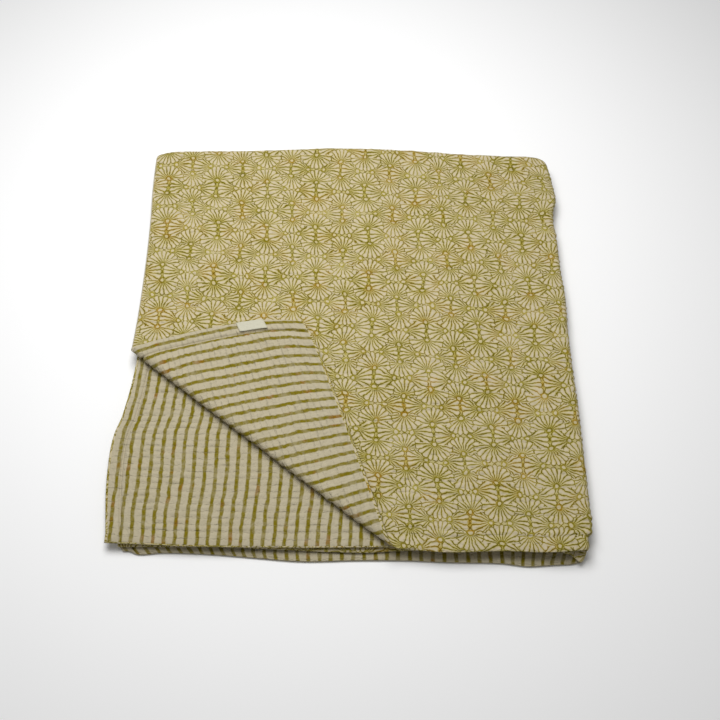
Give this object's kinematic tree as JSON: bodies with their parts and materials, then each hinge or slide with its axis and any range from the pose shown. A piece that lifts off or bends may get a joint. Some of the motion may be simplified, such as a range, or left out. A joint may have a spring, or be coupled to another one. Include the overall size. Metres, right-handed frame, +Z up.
{
  "type": "folded quilt",
  "caption": "Thin hand-quilted cotton cot quilt, folded in quarters, with its front corner turned back to show a striped reverse and a small sewn label.",
  "frame": {"origin": "middle of the folded quilt's outline, on the surface that it rests on", "axes": "+X to the right along the front hems, +Y towards the back fold, +Z up; the turned corner is at the front left (-X, -Y)"},
  "size_m": [0.5114, 0.5328, 0.0303],
  "materials": {
    "quilt_cotton": "matt cotton, printed in mustard olive on ivory, with a striped reverse",
    "label_tape": "matt woven tape, plain ivory"
  },
  "bodies": {
    "root": {"quilt": "quilt_cotton", "label": "label_tape"}
  },
  "joints": []
}
